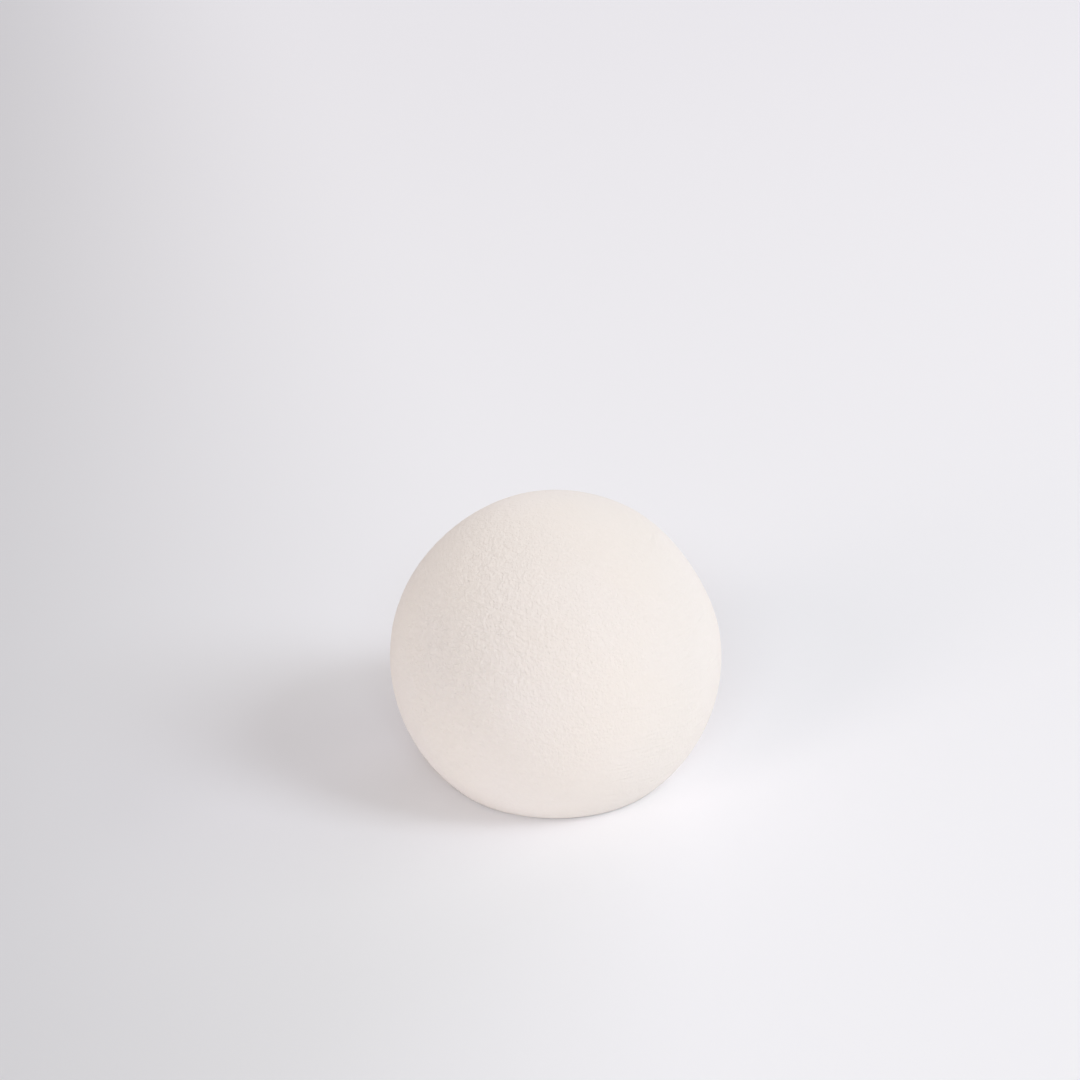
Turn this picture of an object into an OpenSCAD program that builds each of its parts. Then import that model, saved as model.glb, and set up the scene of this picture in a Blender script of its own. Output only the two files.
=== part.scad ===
// Ceramic ball ornament: a hollow slip-cast ball that stands on a flat base.
// Millimetres, +Z up. The origin is the centre of the base, on the surface that the ball stands on.
// The whole ball is one revolved wall section, and its arcs stay true arcs.

/* [Ball] */
// Outside diameter of the ball
ball_d = 100; // [80:1:150]
// Width at which the ball's curve would meet the table if the edge of the base were left sharp
base_d = 68; // [56:1:76]
// Rounding of the edge between the ball and its base
edge_r = 2.5; // [1:0.5:6]

/* [Wall] */
// Thickness of the cast wall around the hollow
wall_t = 6; // [4:0.5:10]
// Thickness of the base, from the recess up to the hollow
floor_t = 6; // [4:0.5:10]
// Rounding inside the hollow, where its wall turns into its floor
hollow_edge_r = 5; // [2:0.5:8]

/* [Underside] */
// Width of the flat ring that the ball stands on
ring_w = 6; // [3:0.5:10]
// Depth of the recess inside the ring, which is also the radius of its cove
recess_h = 1.2; // [0.6:0.1:2.4]
// Diameter of the hole that drains the slip and vents the hollow in the kiln
vent_d = 12; // [8:1:18]
// Rounding of the hole's mouth, where it is sponged smooth
vent_edge_r = 1; // [0.5:0.25:2]

/* [Hidden] */
$fn = 180;

clay = "#ECE3DD";
// How far a cutting shape runs past the face that it cuts
overrun = 1;

ball_r = ball_d / 2;
vent_r = vent_d / 2;
// Height of the ball's centre above the table
centre_h = sqrt(pow(ball_r, 2) - pow(base_d / 2, 2));
hollow_r = ball_r - wall_t;
hollow_z = recess_h + floor_t;
// Outer radius of the ring, where the base stops being flat
ring_r = edge_x(ball_r, centre_h, edge_r);
recess_r = ring_r - ring_w;

// Distance from the axis to the centre of the arc that rounds the corner between a disc and the level base under it
function edge_x(disc_r, rise, round_r) = sqrt(pow(disc_r - round_r, 2) - pow(rise - round_r, 2));

// Rounds a convex corner of the 2-D children. The arc has its centre at `centre` and meets the two sides
// along the unit directions `to_a` and `to_b`, so each cut crosses its side squarely.
module rounded_corner(centre, round_r, to_a, to_b) {
    reach = 2 * round_r;
    module wedge()
        polygon([centre, centre + reach * to_a, centre + reach * (to_a + to_b), centre + reach * to_b]);
    difference() {
        children();
        wedge();
    }
    intersection() {
        translate(centre) circle(r = round_r);
        wedge();
    }
}

// Half of an upright disc on the axis, cut level `rise` below its centre and rounded at the cut.
// The cut lies on the X axis.
module flat_bottomed_disc(disc_r, rise, round_r) {
    corner = [edge_x(disc_r, rise, round_r), round_r];
    from_centre = corner - [0, rise];
    rounded_corner(corner, round_r, from_centre / norm(from_centre), [0, -1])
        intersection() {
            translate([0, rise]) circle(r = disc_r);
            square([disc_r + overrun, rise + disc_r + overrun]);
        }
}

module hollow_section()
    translate([0, hollow_z]) flat_bottomed_disc(hollow_r, centre_h - hollow_z, hollow_edge_r);

// The shallow recess, whose outer wall is a cove that ends square on the ring
module recess_section() {
    cove_x = recess_r - recess_h;
    translate([0, -overrun]) square([cove_x, recess_h + overrun]);
    intersection() {
        translate([cove_x, 0]) circle(r = recess_h);
        translate([0, -overrun]) square([recess_r + overrun, recess_h + 2 * overrun]);
    }
}

// The wall between the outside and the hollow, before the hole through the base is rounded
module drained_section()
    difference() {
        flat_bottomed_disc(ball_r, centre_h, edge_r);
        hollow_section();
        recess_section();
        translate([0, -overrun]) square([vent_r, hollow_z + 2 * overrun]);
    }

module wall_section()
    rounded_corner([vent_r, recess_h] + [vent_edge_r, vent_edge_r], vent_edge_r, [-1, 0], [0, -1])
        drained_section();

module ball()
    color(clay) rotate_extrude() wall_section();

ball();
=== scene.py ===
"""A hollow ceramic ball ornament with a fine sandy skin, standing on a pale studio floor.

The file is laid out as a Blender add-on: sizes and colours are properties, the ball and the studio are
one operator each, and a panel in the sidebar lists them. Run as a script, it builds everything.
"""

import math

import bmesh
import bpy
from mathutils import Matrix, Vector, noise


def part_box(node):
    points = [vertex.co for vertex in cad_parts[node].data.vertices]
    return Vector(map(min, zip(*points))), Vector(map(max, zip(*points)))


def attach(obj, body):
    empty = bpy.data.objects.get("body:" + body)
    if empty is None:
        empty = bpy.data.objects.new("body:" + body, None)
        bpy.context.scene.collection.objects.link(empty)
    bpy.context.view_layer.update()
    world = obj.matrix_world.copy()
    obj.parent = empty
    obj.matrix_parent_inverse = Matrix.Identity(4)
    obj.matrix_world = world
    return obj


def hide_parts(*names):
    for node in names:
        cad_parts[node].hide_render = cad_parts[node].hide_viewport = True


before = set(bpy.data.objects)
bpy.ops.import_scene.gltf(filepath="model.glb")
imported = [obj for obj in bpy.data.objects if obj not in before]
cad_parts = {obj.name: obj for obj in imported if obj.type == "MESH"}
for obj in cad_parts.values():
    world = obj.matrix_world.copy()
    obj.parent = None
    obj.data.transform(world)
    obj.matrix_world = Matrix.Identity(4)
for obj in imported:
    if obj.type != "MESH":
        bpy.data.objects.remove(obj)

bl_info = {
    "name": "Ceramic Ball Ornament",
    "version": (1, 0, 0),
    "blender": (4, 5, 0),
    "location": "View3D > Sidebar > Ornament",
    "description": "Builds a flat-based ceramic ball with a sandy skin, and a pale studio for it",
    "category": "Add Mesh",
}

MM = 0.001
NODE = "ball"
BODY = "root"

CAD_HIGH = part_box(NODE)[1]
CAD_RADIUS = CAD_HIGH.x
CAD_HEIGHT = CAD_HIGH.z

# The image that the camera frames, in pixels
IMAGE_SIDE = 1080
BALL_CENTRE_PX = (555.5, 655.3)
BALL_RADIUS_PX = 166.2


# ---------------------------------------------------------------- properties


class BallShape(bpy.types.PropertyGroup):
    """Sizes of the ball."""

    radius: bpy.props.FloatProperty(
        name="Ball Radius", description="Radius of the round outside",
        default=CAD_RADIUS, unit="LENGTH")
    height: bpy.props.FloatProperty(
        name="Height", description="From the flat base to the top of the ball",
        default=CAD_HEIGHT, unit="LENGTH")
    wall: bpy.props.FloatProperty(
        name="Wall", description="Thickness of the cast wall around the hollow",
        default=6 * MM, unit="LENGTH")
    floor: bpy.props.FloatProperty(
        name="Floor", description="Thickness of the base, from the recess up to the hollow",
        default=6 * MM, unit="LENGTH")
    edge_round: bpy.props.FloatProperty(
        name="Edge Rounding", description="Rounding between the ball and its base",
        default=2.5 * MM, unit="LENGTH")
    hollow_round: bpy.props.FloatProperty(
        name="Hollow Rounding", description="Rounding inside, where the wall turns into the floor",
        default=5 * MM, unit="LENGTH")
    ring: bpy.props.FloatProperty(
        name="Foot Ring", description="Width of the flat ring that the ball stands on",
        default=6 * MM, unit="LENGTH")
    recess: bpy.props.FloatProperty(
        name="Recess", description="Depth of the recess inside the ring",
        default=1.2 * MM, unit="LENGTH")
    vent_radius: bpy.props.FloatProperty(
        name="Vent Radius", description="Radius of the hole that drains and vents the hollow",
        default=6 * MM, unit="LENGTH")
    vent_round: bpy.props.FloatProperty(
        name="Vent Rounding", description="Rounding of the mouth of the hole",
        default=1 * MM, unit="LENGTH")


class SkinFinish(bpy.types.PropertyGroup):
    """The sandy skin: its relief and its colours."""

    sag: bpy.props.FloatProperty(
        name="Unevenness", description="Depth of the slow hand-made unevenness of the form",
        default=0.3 * MM, unit="LENGTH")
    sag_size: bpy.props.FloatProperty(
        name="Unevenness Size", description="Distance over which the form wanders",
        default=38 * MM, unit="LENGTH")
    grain_depth: bpy.props.FloatProperty(
        name="Grain Depth", description="Depth of the coarse grain",
        default=0.45 * MM, unit="LENGTH")
    grain_size: bpy.props.FloatProperty(
        name="Grain Size", description="Width of one bump of the coarse grain",
        default=1.3 * MM, unit="LENGTH")
    sand_depth: bpy.props.FloatProperty(
        name="Sand Depth", description="Depth of the fine sand on the grain",
        default=0.35 * MM, unit="LENGTH")
    sand_size: bpy.props.FloatProperty(
        name="Sand Size", description="Width of one bump of the fine sand",
        default=0.95 * MM, unit="LENGTH")
    clay: bpy.props.FloatVectorProperty(
        name="Clay", description="Main colour of the fired clay",
        default=(0.870, 0.812, 0.770), subtype="COLOR", min=0, max=1)
    cream: bpy.props.FloatVectorProperty(
        name="Cream", description="Warmer colour of the clouds in the clay",
        default=(0.868, 0.806, 0.752), subtype="COLOR", min=0, max=1)
    bisque: bpy.props.FloatVectorProperty(
        name="Bisque", description="Colour of the bare clay inside and under the ball",
        default=(0.80, 0.74, 0.69), subtype="COLOR", min=0, max=1)


class StudioLook(bpy.types.PropertyGroup):
    """The floor, the lamps and the camera."""

    floor: bpy.props.FloatVectorProperty(
        name="Floor", description="Colour of the paper floor",
        default=(0.949, 0.944, 0.964), subtype="COLOR", min=0, max=1)
    backdrop: bpy.props.FloatVectorProperty(
        name="Backdrop", description="Colour that the camera sees past the floor",
        default=(0.80, 0.79, 0.83), subtype="COLOR", min=0, max=1)
    room: bpy.props.FloatVectorProperty(
        name="Room", description="Colour of the even light from the room",
        default=(1.0, 0.940, 0.906), subtype="COLOR", min=0, max=1)
    ambient: bpy.props.FloatProperty(
        name="Ambient", description="Strength of the even light from the room",
        default=0.476, min=0)
    lamps: bpy.props.FloatProperty(
        name="Lamps", description="Factor on the power of all the softboxes",
        default=1.0, min=0)
    elevation: bpy.props.FloatProperty(
        name="Elevation", description="Angle at which the camera looks down on the ball",
        default=math.radians(28), subtype="ANGLE")
    lens: bpy.props.FloatProperty(
        name="Lens", description="Focal length on a sensor 36 mm wide",
        default=90, min=1)


# ---------------------------------------------------------------- node helpers


def add_node(tree, kind, **settings):
    """A node with its properties set by keyword."""
    made = tree.nodes.new(kind)
    for name, value in settings.items():
        setattr(made, name, value)
    return made


def feed(tree, socket, source):
    """Links an output to a socket, or sets the socket to a plain value."""
    if isinstance(source, bpy.types.NodeSocket):
        tree.links.new(source, socket)
    else:
        socket.default_value = source


def math_node(tree, operation, a, b):
    """The result of one operation on two values."""
    made = add_node(tree, "ShaderNodeMath", operation=operation)
    feed(tree, made.inputs[0], a)
    feed(tree, made.inputs[1], b)
    return made.outputs[0]


def ramp(tree, value, low, high, to_low=0.0, to_high=1.0):
    """Maps a value smoothly from one range to another."""
    made = add_node(tree, "ShaderNodeMapRange", interpolation_type="SMOOTHSTEP")
    for name, number in (("From Min", low), ("From Max", high), ("To Min", to_low), ("To Max", to_high)):
        made.inputs[name].default_value = number
    feed(tree, made.inputs["Value"], value)
    return made.outputs["Result"]


def mix_colours(tree, factor, a, b):
    """Colour a where the factor is 0, and b where it is 1."""
    made = add_node(tree, "ShaderNodeMix", data_type="RGBA")
    feed(tree, made.inputs["Factor"], factor)
    feed(tree, made.inputs["A"], a)
    feed(tree, made.inputs["B"], b)
    return made.outputs["Result"]


def noise_node(tree, vector, scale, detail=2.0, roughness=0.5, distortion=0.0):
    """Smooth noise from 0 to 1, most of it near 0.5."""
    made = add_node(tree, "ShaderNodeTexNoise")
    feed(tree, made.inputs["Vector"], vector)
    feed(tree, made.inputs["Scale"], scale)
    made.inputs["Detail"].default_value = detail
    made.inputs["Roughness"].default_value = roughness
    made.inputs["Distortion"].default_value = distortion
    return made.outputs["Fac"]


def new_group(name, inputs, outputs):
    """An empty shader node group with its sockets and its input and output nodes."""
    group = bpy.data.node_groups.new(name, "ShaderNodeTree")
    for socket, kind, default in inputs:
        made = group.interface.new_socket(socket, in_out="INPUT", socket_type=kind)
        if default is not None:
            made.default_value = default
    for socket, kind in outputs:
        group.interface.new_socket(socket, in_out="OUTPUT", socket_type=kind)
    return group, group.nodes.new("NodeGroupInput").outputs, group.nodes.new("NodeGroupOutput").inputs


def place_group(tree, group, **values):
    """Puts a node group into a tree and feeds its inputs by name, with spaces for underscores."""
    made = add_node(tree, "ShaderNodeGroup", node_tree=group)
    for name, value in values.items():
        feed(tree, made.inputs[name.replace("_", " ").title()], value)
    return made.outputs


def new_material(name):
    """A material with one Principled BSDF, and the Object coordinates to feed it."""
    made = bpy.data.materials.new(name)
    made.use_nodes = True
    tree = made.node_tree
    shader = tree.nodes["Principled BSDF"]
    place = add_node(tree, "ShaderNodeTexCoord").outputs["Object"]
    return made, tree, shader, place


# ---------------------------------------------------------------- clay materials

# Attribute of the mesh that says how coarse the skin is, from 0 to 1
COARSE_MAP = "coarseness"
# Noise is spread over the whole range from 0 to 1 between these two values
NOISE_LOW = 0.3
NOISE_HIGH = 0.7
# Grains of the fine sand: roughness and bending of their noise, and their share of the height
GRAIN_ROUGHNESS = 0.62
GRAIN_BENDING = 0.3
GRAIN_SHARE = 0.85
# Specks: how many of them there are for each grain, along a line, and their share of the height
SPECKS_PER_GRAIN = 3.4
SPECK_SHARE = 0.15
# Pinholes: one in each cell, so many cells for each grain along a line, and inner and outer radius in cells
PINHOLE_CELLS_PER_GRAIN = 0.25
PINHOLE_INNER = 0.05
PINHOLE_OUTER = 0.12
# Depth of a pinhole as a share of the height, how much painted shade shows in it, and how bright
# that painted shade is against the clay's colour
PINHOLE_DEPTH = 0.5
PINHOLE_SHADE_SHARE = 0.25
PINHOLE_SHADE_TONE = 0.9
# The noise of the wiping marks takes these shares of the coordinates, which draws the marks out level
WIPING_STRETCH = (0.1, 0.1, 0.9)
# Roughness of the skin and of the bare clay, and how far the clouds take it up and down
SKIN_ROUGHNESS = 0.86
BARE_ROUGHNESS = 0.92
ROUGHNESS_SWING = 0.04
CLAY_DIFFUSE_ROUGHNESS = 0.64
CLAY_SPECULAR = 0.3
# Relief of the bare clay as a share of the skin's
BARE_RELIEF = 0.4


def sand_group():
    """Fine sand: worm-like grains, finer specks and a few pinholes as one height, the pinholes by
    themselves, and level marks of wiping."""
    group, given, put = new_group(
        "sand",
        [("Vector", "NodeSocketVector", None), ("Grains Per Metre", "NodeSocketFloat", 1500.0)],
        [("Height", "NodeSocketFloat"), ("Pinholes", "NodeSocketFloat"), ("Wiping", "NodeSocketFloat")])
    place, rate = given["Vector"], given["Grains Per Metre"]
    grains = noise_node(
        group, place, rate, detail=1.0, roughness=GRAIN_ROUGHNESS, distortion=GRAIN_BENDING)
    specks = noise_node(group, place, math_node(group, "MULTIPLY", rate, SPECKS_PER_GRAIN))
    cells = add_node(group, "ShaderNodeTexVoronoi", feature="F1")
    feed(group, cells.inputs["Vector"], place)
    feed(group, cells.inputs["Scale"], math_node(group, "MULTIPLY", rate, PINHOLE_CELLS_PER_GRAIN))
    pinholes = ramp(group, cells.outputs["Distance"], PINHOLE_INNER, PINHOLE_OUTER, 1.0, 0.0)
    body = math_node(group, "MULTIPLY", ramp(group, grains, NOISE_LOW, NOISE_HIGH), GRAIN_SHARE)
    fine = math_node(group, "MULTIPLY", specks, SPECK_SHARE)
    height = math_node(group, "ADD", body, fine)
    depth = math_node(group, "MULTIPLY", pinholes, PINHOLE_DEPTH)
    feed(group, put["Height"], math_node(group, "SUBTRACT", height, depth))
    feed(group, put["Pinholes"], pinholes)
    around = add_node(group, "ShaderNodeVectorMath", operation="MULTIPLY")
    feed(group, around.inputs[0], place)
    around.inputs[1].default_value = WIPING_STRETCH
    feed(group, put["Wiping"], noise_node(group, around.outputs["Vector"], rate, detail=1.0))
    return group


def cloud_group():
    """Slow clouds of colour in the clay, as a mask from 0 to 1."""
    group, given, put = new_group(
        "clouds",
        [("Vector", "NodeSocketVector", None), ("Clouds Per Metre", "NodeSocketFloat", 25.0)],
        [("Mask", "NodeSocketFloat")])
    clouds = noise_node(group, given["Vector"], given["Clouds Per Metre"], detail=3.0)
    feed(group, put["Mask"], ramp(group, clouds, NOISE_LOW, NOISE_HIGH))
    return group


def clay_material(name, sand, clouds, finish, tone, cloud_tone, relief, roughness):
    """Matte fired clay: clouds of two near colours, painted shade in the pinholes and a bump, which is sandy
    where the skin is coarse and has the marks of wiping where it is smooth."""
    made, tree, shader, place = new_material(name)
    mask = place_group(tree, clouds, vector=place)["Mask"]
    skin = place_group(tree, sand, vector=place, grains_per_metre=1 / finish.sand_size)
    colour = mix_colours(tree, mask, (*tone, 1), (*cloud_tone, 1))
    # Painted shade: the pinholes take a darker copy of the clay's colour
    pinhole_shade_colour = tuple(PINHOLE_SHADE_TONE * channel for channel in tone)
    pinhole_shade = math_node(tree, "MULTIPLY", skin["Pinholes"], PINHOLE_SHADE_SHARE)
    colour = mix_colours(tree, pinhole_shade, colour, (*pinhole_shade_colour, 1))
    feed(tree, shader.inputs["Base Color"], colour)
    swing = ramp(tree, mask, 0.0, 1.0, roughness - ROUGHNESS_SWING, roughness + ROUGHNESS_SWING)
    feed(tree, shader.inputs["Roughness"], swing)
    shader.inputs["Diffuse Roughness"].default_value = CLAY_DIFFUSE_ROUGHNESS
    shader.inputs["Specular IOR Level"].default_value = CLAY_SPECULAR
    coarse = add_node(tree, "ShaderNodeAttribute", attribute_name=COARSE_MAP).outputs["Fac"]
    bump = add_node(tree, "ShaderNodeBump")
    bump.inputs["Distance"].default_value = relief
    sandy = math_node(tree, "MULTIPLY", skin["Height"], coarse)
    wiped = math_node(tree, "MULTIPLY", skin["Wiping"], math_node(tree, "SUBTRACT", 1.0, coarse))
    feed(tree, bump.inputs["Height"], math_node(tree, "ADD", sandy, wiped))
    feed(tree, shader.inputs["Normal"], bump.outputs["Normal"])
    return made


# ---------------------------------------------------------------- ball mesh

# The skin starts as an icosphere and each of its edges is cut this many times, for triangles of about 0.6 mm
SPHERE_SUBDIVISIONS = 3
SKIN_CUTS = 24
# Points this near the plane of the base count as on it
CUT_TOLERANCE = 1e-7
# Sides of the rings under and inside the ball
LATHE_SIDES = 96
# Steps along the small arcs and along the dome of the hollow
ARC_STEPS = 5
DOME_STEPS = 14
# Height over which the relief of the skin runs out towards the base
GRAIN_FADE = 1.5 * MM
SAG_FADE = 12 * MM
# Flats that the hand left: azimuth, elevation and half angle in degrees, and depth.
# Azimuth 0 is to the right and 90 is behind.
FLATS = (
    (18, 30, 30, 0.8 * MM),
    (153, 40, 40, 0.6 * MM),
    (-95, 62, 24, 0.25 * MM),
    (75, -5, 30, 0.5 * MM),
)
# Coarse sides of the skin: azimuth and elevation in degrees, and how much coarser it is there
COARSE_SIDES = (
    (-127, 24, 0.74),
    (100, 5, 0.60),
)
# Angle from a coarse side at which about a third of that is left
COARSE_SPREAD = math.radians(42)
# How coarse the finest skin is, and how much coarser or finer the slow patches make it
FINEST = 0.15
PATCHES = 0.15
PATCH_SIZE = 22 * MM
# The coarse grain is bent by up to this many grains, over a distance of so many grains
WARP = 0.35
WARP_GRAINS = 2.1
# Seed of the noise that bends it. It isn't 0, which would take the clock and give another skin each run.
WARP_SEED = 1
# Narrow bumps of the grain are one grain wide, and broad ones this many. The two are added with these
# weights, and the shift keeps them from rising at the same places.
BROAD_GRAINS = 2.3
NARROW_WEIGHT = 0.8
BROAD_WEIGHT = 0.45
BROAD_SHIFT = Vector((7.3, 1.9, 4.1))
# Angle between faces from which an edge is shaded as sharp
CREASE = math.radians(50)


def arc(centre, radius, start, end, steps):
    """Points (distance from the axis, height) along an arc, without its first one. Angles go from
    straight down."""
    made = []
    for step in range(1, steps + 1):
        angle = start + (end - start) * step / steps
        made.append((centre[0] + radius * math.sin(angle), centre[1] - radius * math.cos(angle)))
    return made


def corner_of(radius, rise, rounding):
    """Centre of the arc that rounds a disc cut level `rise` below its centre, measured from the cut,
    and the angle from straight down at which the arc meets the disc."""
    across = math.sqrt((radius - rounding) ** 2 - (rise - rounding) ** 2)
    return (across, rounding), math.atan2(across, rise - rounding)


def skin_sphere(bm, shape, floor_z):
    """Even, fine triangles over the whole ball, cut off level at floor_z. Returns the edges of the cut."""
    bmesh.ops.create_icosphere(bm, subdivisions=SPHERE_SUBDIVISIONS, radius=shape.radius)
    bmesh.ops.subdivide_edges(bm, edges=bm.edges[:], cuts=SKIN_CUTS, use_grid_fill=True)
    for vert in bm.verts:
        vert.co = vert.co.normalized() * shape.radius
    bmesh.ops.translate(bm, verts=bm.verts[:], vec=(0, 0, shape.height - shape.radius))
    whole = bm.verts[:] + bm.edges[:] + bm.faces[:]
    cut = bmesh.ops.bisect_plane(
        bm, geom=whole, dist=CUT_TOLERANCE, plane_co=(0, 0, floor_z), plane_no=(0, 0, 1),
        clear_inner=True)
    return [item for item in cut["geom_cut"] if isinstance(item, bmesh.types.BMEdge)]


def clamp(value, low=0.0, high=1.0):
    """The value, kept between low and high."""
    return min(high, max(low, value))


def towards(azimuth, elevation):
    """Unit vector in a direction given in degrees: azimuth 0 is to the right of the ball and 90 is
    behind it."""
    side, rise = math.radians(azimuth), math.radians(elevation)
    return Vector((math.cos(rise) * math.cos(side), math.cos(rise) * math.sin(side), math.sin(rise)))


def pressed_flats(outwards):
    """Depth of the hand-pressed flats where the skin faces `outwards`."""
    depth = 0.0
    for azimuth, elevation, half_angle, deepest in FLATS:
        angle = outwards.angle(towards(azimuth, elevation))
        if angle < math.radians(half_angle):
            depth += deepest * math.cos(math.pi / 2 * angle / math.radians(half_angle)) ** 2
    return depth


def coarseness(outwards, point):
    """How coarse the skin is, up to 1: most on the coarse sides, with slow patches all over."""
    coarse = FINEST + PATCHES * noise.noise(point / PATCH_SIZE)
    for azimuth, elevation, rise in COARSE_SIDES:
        angle = outwards.angle(towards(azimuth, elevation))
        coarse += rise * math.exp(-(angle / COARSE_SPREAD) ** 2)
    return clamp(coarse, FINEST, 1.0)


def roughen(bm, shape, finish, floor_z):
    """Presses the unevenness and the coarse grain into the skin, always inwards, and notes how coarse
    it is."""
    noise.seed_set(WARP_SEED)
    centre = Vector((0, 0, shape.height - shape.radius))
    coarse = bm.verts.layers.float.new(COARSE_MAP)
    for vert in bm.verts:
        above = vert.co.z - floor_z
        outwards = (vert.co - centre).normalized()
        vert[coarse] = coarseness(outwards, vert.co)
        sag = 0.5 + 0.5 * noise.noise(vert.co / finish.sag_size)
        depth = (finish.sag * sag + pressed_flats(outwards)) * clamp(above / SAG_FADE)
        warp = WARP * noise.noise_vector(vert.co / (WARP_GRAINS * finish.grain_size))
        narrow = noise.noise(vert.co / finish.grain_size + warp)
        broad = noise.noise(vert.co / (BROAD_GRAINS * finish.grain_size) + BROAD_SHIFT)
        grain = 0.5 - 0.5 * clamp(NARROW_WEIGHT * narrow + BROAD_WEIGHT * broad, -1.0)
        depth += finish.grain_depth * vert[coarse] * grain * clamp(above / GRAIN_FADE)
        vert.co -= outwards * depth


def follow(bm, rim, section):
    """Extrudes a ring of edges along points (distance from the axis, height) and returns the last ring."""
    for across, up in section:
        made = bmesh.ops.extrude_edge_only(bm, edges=rim)["geom"]
        rim = [item for item in made if isinstance(item, bmesh.types.BMEdge) and item.is_boundary]
        for vert in {vert for edge in rim for vert in edge.verts}:
            side = vert.co.xy.normalized() * across
            vert.co = (side.x, side.y, up)
    return rim


def close_at(bm, rim, up):
    """Closes a ring of edges with a fan to a point on the axis."""
    made = bmesh.ops.extrude_edge_only(bm, edges=rim)["geom"]
    tip = [item for item in made if isinstance(item, bmesh.types.BMVert)]
    bmesh.ops.pointmerge(bm, verts=tip, merge_co=(0, 0, up))


def hollow_section(shape):
    """From the recess through the vent hole to the top of the hollow."""
    quarter = math.pi / 2
    mouth = (shape.vent_radius + shape.vent_round, shape.recess + shape.vent_round)
    hollow_floor = shape.recess + shape.floor
    radius = shape.radius - shape.wall
    centre_z = shape.height - shape.radius
    corner, meets = corner_of(radius, centre_z - hollow_floor, shape.hollow_round)
    corner = (corner[0], corner[1] + hollow_floor)
    half_ceiling = (mouth[0] + shape.ring, shape.recess)
    section = [half_ceiling, (mouth[0], shape.recess)]
    section += arc(mouth, shape.vent_round, 0, -quarter, ARC_STEPS)
    section += [(shape.vent_radius, hollow_floor), (corner[0] / 2, hollow_floor), (corner[0], hollow_floor)]
    section += arc(corner, shape.hollow_round, 0, meets, ARC_STEPS)
    section += arc((0, centre_z), radius, meets, math.pi, DOME_STEPS)[:-1]
    return section, centre_z + radius


def ball_mesh(shape, finish):
    """The whole closed wall of the ball. Faces of the skin take material 0, those below and inside take 1."""
    corner, meets = corner_of(shape.radius, shape.height - shape.radius, shape.edge_round)
    skin_foot = corner[1] - shape.edge_round * math.cos(meets)
    bm = bmesh.new()
    rim = skin_sphere(bm, shape, skin_foot)
    roughen(bm, shape, finish, skin_foot)
    rim = follow(bm, rim, arc(corner, shape.edge_round, meets, 0, ARC_STEPS))
    skin = set(bm.faces)

    recess_radius = corner[0] - shape.ring
    cove = (recess_radius - shape.recess, 0)
    bmesh.ops.create_circle(bm, segments=LATHE_SIDES, radius=recess_radius)
    inner = [edge for edge in bm.edges if edge.is_wire]
    bmesh.ops.bridge_loops(bm, edges=rim + inner)
    rim = follow(bm, inner, arc(cove, shape.recess, math.pi / 2, math.pi, ARC_STEPS))
    section, top = hollow_section(shape)
    close_at(bm, follow(bm, rim, section), top)

    bmesh.ops.recalc_face_normals(bm, faces=bm.faces[:])
    for face in bm.faces:
        face.smooth = True
        face.material_index = 0 if face in skin else 1
    for edge in bm.edges:
        edge.smooth = edge.calc_face_angle(0) < CREASE
    mesh = bpy.data.meshes.new("ornament_ball")
    bm.to_mesh(mesh)
    bm.free()
    return mesh


class ORNAMENT_OT_ball(bpy.types.Operator):
    """Build the hollow ceramic ball with its sandy skin"""

    bl_idname = "ornament.ball"
    bl_label = "Ceramic Ball"

    def execute(self, context):
        shape = context.scene.ornament_shape
        finish = context.scene.ornament_finish
        sand, clouds = sand_group(), cloud_group()
        ball = bpy.data.objects.new("ornament_ball", ball_mesh(shape, finish))
        context.scene.collection.objects.link(ball)
        ball.data.materials.append(clay_material(
            "sandy_clay", sand, clouds, finish, finish.clay, finish.cream,
            finish.sand_depth, SKIN_ROUGHNESS))
        ball.data.materials.append(clay_material(
            "bare_clay", sand, clouds, finish, finish.bisque, finish.bisque,
            BARE_RELIEF * finish.sand_depth, BARE_ROUGHNESS))
        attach(ball, BODY)
        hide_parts(NODE)
        return {"FINISHED"}


# ---------------------------------------------------------------- studio

FLOOR_RADIUS = 4.0
FLOOR_SIDES = 96
PAPER_ROUGHNESS = 0.9
PAPER_SPECULAR = 0.3
# Distances from the ball over which the floor fades into the backdrop
FADE_START = 0.5
FADE_END = 1.7
# Softboxes: name, azimuth and elevation in degrees, distance, width and height in metres, power in
# watts, and colour. Azimuth 0 is to the right of the ball and 90 is behind it.
SOFTBOXES = (
    ("key", -21, 39, 4.0, 1.32, 1.70, 54.8, (0.869, 0.924, 1.0)),
    ("key_side", 10, 34, 3.0, 1.50, 0.30, 7.0, (0.918, 1.0, 0.882)),
    ("front", -92, 32, 6.0, 3.16, 0.84, 93.2, (0.807, 0.933, 1.0)),
    ("front_low", -134, 20, 6.0, 1.76, 3.32, 59.3, (1.0, 0.845, 0.829)),
    ("back", 65, 20, 3.2, 1.98, 0.90, 16.4, (0.859, 0.814, 1.0)),
)
# Height above the floor that the softboxes point at
AIM_HEIGHT = 0.03
# Nearest distance that the camera sees
CLIP_START = 0.01
# The floor darkens softly towards the left, over these distances from the ball. The shade sets in by
# SHADE_LEAN further to the left for each metre further back, and takes up to SHADE of the colour.
SHADE_START = -0.03
SHADE_END = 0.26
SHADE_LEAN = 0.2
SHADE = 0.30
# Distances from the ball over which that shade runs out again
SHADE_FADE_START = 1.0
SHADE_FADE_END = 3.5


def floor_shade(tree, place, away):
    """How far the floor is in shade, from 0 to 1: more to the left, and less again far from the ball."""
    axes = add_node(tree, "ShaderNodeSeparateXYZ")
    feed(tree, axes.inputs["Vector"], place)
    lean = math_node(tree, "MULTIPLY", axes.outputs["Y"], -SHADE_LEAN)
    leftwards = math_node(tree, "SUBTRACT", lean, axes.outputs["X"])
    shade = ramp(tree, leftwards, SHADE_START, SHADE_END)
    return math_node(tree, "MULTIPLY", shade, ramp(tree, away, SHADE_FADE_START, SHADE_FADE_END, 1.0, 0.0))


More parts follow.
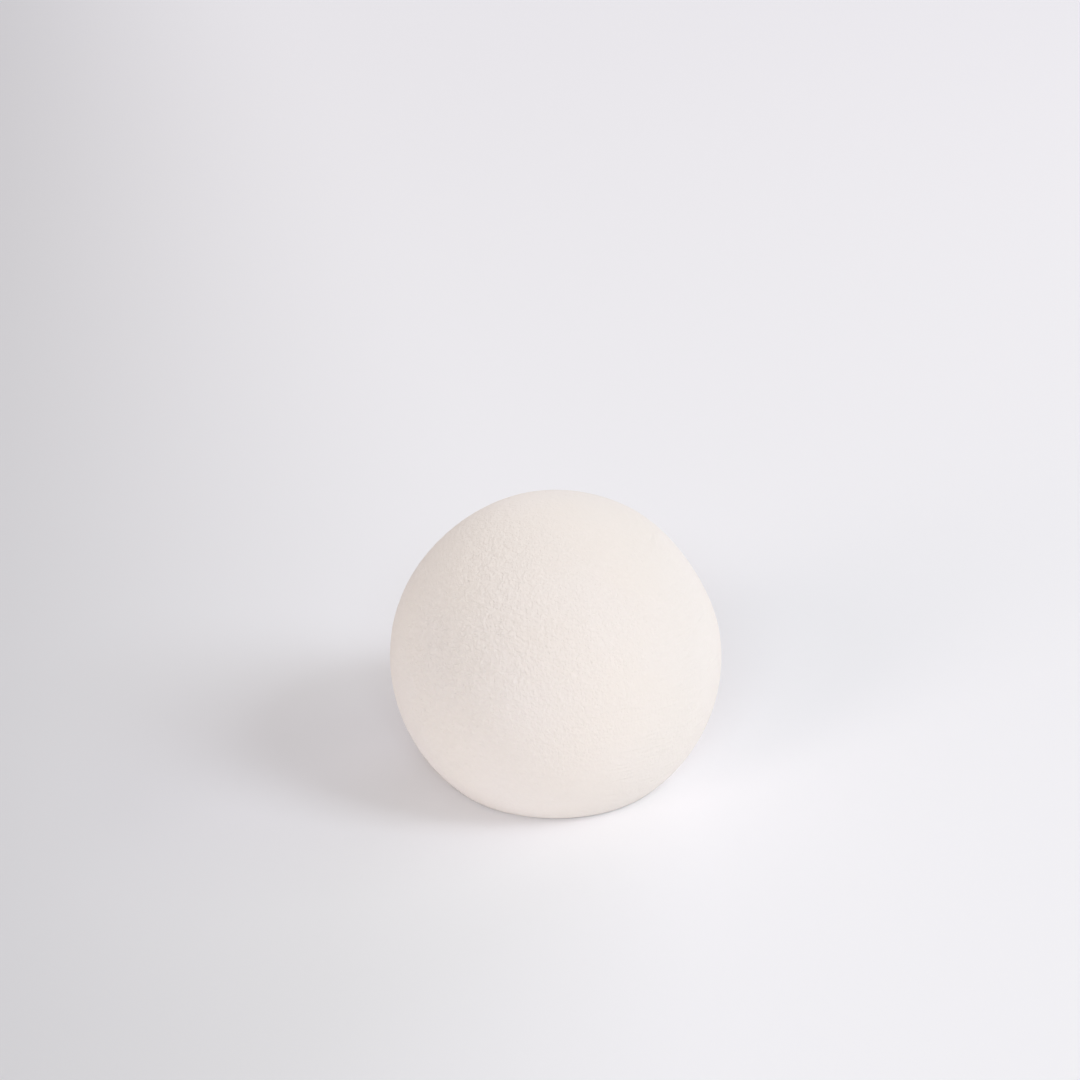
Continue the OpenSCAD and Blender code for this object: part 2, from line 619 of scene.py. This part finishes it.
def shaded(tree, shade, colour):
    """A colour that is darker where the floor is in shade."""
    return mix_colours(tree, shade, (*colour, 1), (*((1 - SHADE) * channel for channel in colour), 1))


def floor_material(look):
    """Matte paper that fades into the backdrop far from the ball, where only the camera looks."""
    made, tree, shader, place = new_material("paper_floor")
    length = add_node(tree, "ShaderNodeVectorMath", operation="LENGTH")
    feed(tree, length.inputs[0], place)
    away = length.outputs["Value"]
    shade = floor_shade(tree, place, away)
    feed(tree, shader.inputs["Base Color"], shaded(tree, shade, look.floor))
    shader.inputs["Roughness"].default_value = PAPER_ROUGHNESS
    shader.inputs["Specular IOR Level"].default_value = PAPER_SPECULAR
    glow = add_node(tree, "ShaderNodeEmission")
    feed(tree, glow.inputs["Color"], shaded(tree, shade, look.backdrop))
    seen = add_node(tree, "ShaderNodeLightPath").outputs["Is Camera Ray"]
    mixed = add_node(tree, "ShaderNodeMixShader")
    feed(tree, mixed.inputs[0], math_node(tree, "MULTIPLY", ramp(tree, away, FADE_START, FADE_END), seen))
    feed(tree, mixed.inputs[1], shader.outputs["BSDF"])
    feed(tree, mixed.inputs[2], glow.outputs["Emission"])
    feed(tree, tree.nodes["Material Output"].inputs["Surface"], mixed.outputs["Shader"])
    return made


def add_floor(scene, look):
    """A round sheet of paper, wide enough to end where it has faded into the backdrop."""
    bm = bmesh.new()
    bmesh.ops.create_circle(bm, cap_ends=True, segments=FLOOR_SIDES, radius=FLOOR_RADIUS)
    mesh = bpy.data.meshes.new("studio_floor")
    bm.to_mesh(mesh)
    bm.free()
    mesh.materials.append(floor_material(look))
    floor = bpy.data.objects.new("studio_floor", mesh)
    scene.collection.objects.link(floor)


def add_world(scene, look):
    """Even, slightly warm light from all round, and a backdrop that only the camera sees."""
    world = bpy.data.worlds.new("studio_room")
    world.use_nodes = True
    scene.world = world
    tree = world.node_tree
    tree.nodes.clear()
    room = add_node(tree, "ShaderNodeBackground")
    room.inputs["Color"].default_value = (*look.room, 1)
    room.inputs["Strength"].default_value = look.ambient
    backdrop = add_node(tree, "ShaderNodeBackground")
    backdrop.inputs["Color"].default_value = (*look.backdrop, 1)
    mixed = add_node(tree, "ShaderNodeMixShader")
    feed(tree, mixed.inputs[0], add_node(tree, "ShaderNodeLightPath").outputs["Is Camera Ray"])
    feed(tree, mixed.inputs[1], room.outputs["Background"])
    feed(tree, mixed.inputs[2], backdrop.outputs["Background"])
    feed(tree, add_node(tree, "ShaderNodeOutputWorld").inputs["Surface"], mixed.outputs["Shader"])


def add_softbox(scene, look, name, azimuth, elevation, distance, width, height, power, colour):
    """A rectangular lamp in the direction given, turned towards the ball."""
    light = bpy.data.lights.new(name, "AREA")
    light.color = colour
    light.shape = "RECTANGLE"
    light.size = width
    light.size_y = height
    light.energy = power * look.lamps
    away = towards(azimuth, elevation)
    lamp = bpy.data.objects.new(name, light)
    lamp.location = Vector((0, 0, AIM_HEIGHT)) + away * distance
    lamp.rotation_euler = (-away).to_track_quat("-Z", "Y").to_euler()
    scene.collection.objects.link(lamp)


def add_camera(scene, look, shape):
    """A level camera that frames the ball where BALL_CENTRE_PX and BALL_RADIUS_PX say."""
    lens = bpy.data.cameras.new("camera")
    lens.lens = look.lens
    lens.clip_start = CLIP_START
    focal_px = look.lens / lens.sensor_width * IMAGE_SIDE
    distance = shape.radius / math.sin(math.atan(BALL_RADIUS_PX / focal_px))
    away = Vector((0, -math.cos(look.elevation), math.sin(look.elevation)))
    half = IMAGE_SIDE / 2
    ray = Vector((BALL_CENTRE_PX[0] - half, half - BALL_CENTRE_PX[1], -focal_px)).normalized()
    pitch = math.asin(-away.z / ray.yz.length) - math.atan2(ray.y, -ray.z)
    level = Matrix.Rotation(math.pi / 2 + pitch, 3, "X")
    unturned = level @ ray
    yaw = math.atan2(-away.y, -away.x) - math.atan2(unturned.y, unturned.x)
    camera = bpy.data.objects.new("camera", lens)
    camera.location = Vector((0, 0, shape.height - shape.radius)) + away * distance
    camera.rotation_euler = (math.pi / 2 + pitch, 0, yaw)
    scene.collection.objects.link(camera)
    scene.camera = camera


class ORNAMENT_OT_studio(bpy.types.Operator):
    """Build the floor, the backdrop, the softboxes and the camera"""

    bl_idname = "ornament.studio"
    bl_label = "Studio"

    def execute(self, context):
        scene = context.scene
        look = scene.ornament_studio
        add_floor(scene, look)
        add_world(scene, look)
        for softbox in SOFTBOXES:
            add_softbox(scene, look, *softbox)
        add_camera(scene, look, scene.ornament_shape)
        scene.view_settings.view_transform = "Standard"
        return {"FINISHED"}


# ---------------------------------------------------------------- panel and registration


class ORNAMENT_PT_sidebar(bpy.types.Panel):
    """Sizes, colours and the two build buttons"""

    bl_label = "Ceramic Ball Ornament"
    bl_space_type = "VIEW_3D"
    bl_region_type = "UI"
    bl_category = "Ornament"

    def draw(self, context):
        scene = context.scene
        for operator, group in (
            (ORNAMENT_OT_ball, scene.ornament_shape),
            (None, scene.ornament_finish),
            (ORNAMENT_OT_studio, scene.ornament_studio),
        ):
            box = self.layout.box()
            if operator:
                box.operator(operator.bl_idname)
            for name in group.__annotations__:
                box.prop(group, name)


CLASSES = (BallShape, SkinFinish, StudioLook, ORNAMENT_OT_ball, ORNAMENT_OT_studio, ORNAMENT_PT_sidebar)


def register():
    for cls in CLASSES:
        bpy.utils.register_class(cls)
    bpy.types.Scene.ornament_shape = bpy.props.PointerProperty(type=BallShape)
    bpy.types.Scene.ornament_finish = bpy.props.PointerProperty(type=SkinFinish)
    bpy.types.Scene.ornament_studio = bpy.props.PointerProperty(type=StudioLook)


def unregister():
    del bpy.types.Scene.ornament_studio
    del bpy.types.Scene.ornament_finish
    del bpy.types.Scene.ornament_shape
    for cls in reversed(CLASSES):
        bpy.utils.unregister_class(cls)


def main():
    """Builds the ball and the studio."""
    register()
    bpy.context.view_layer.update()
    bpy.ops.ornament.ball()
    bpy.ops.ornament.studio()


if __name__ == "__main__":
    main()
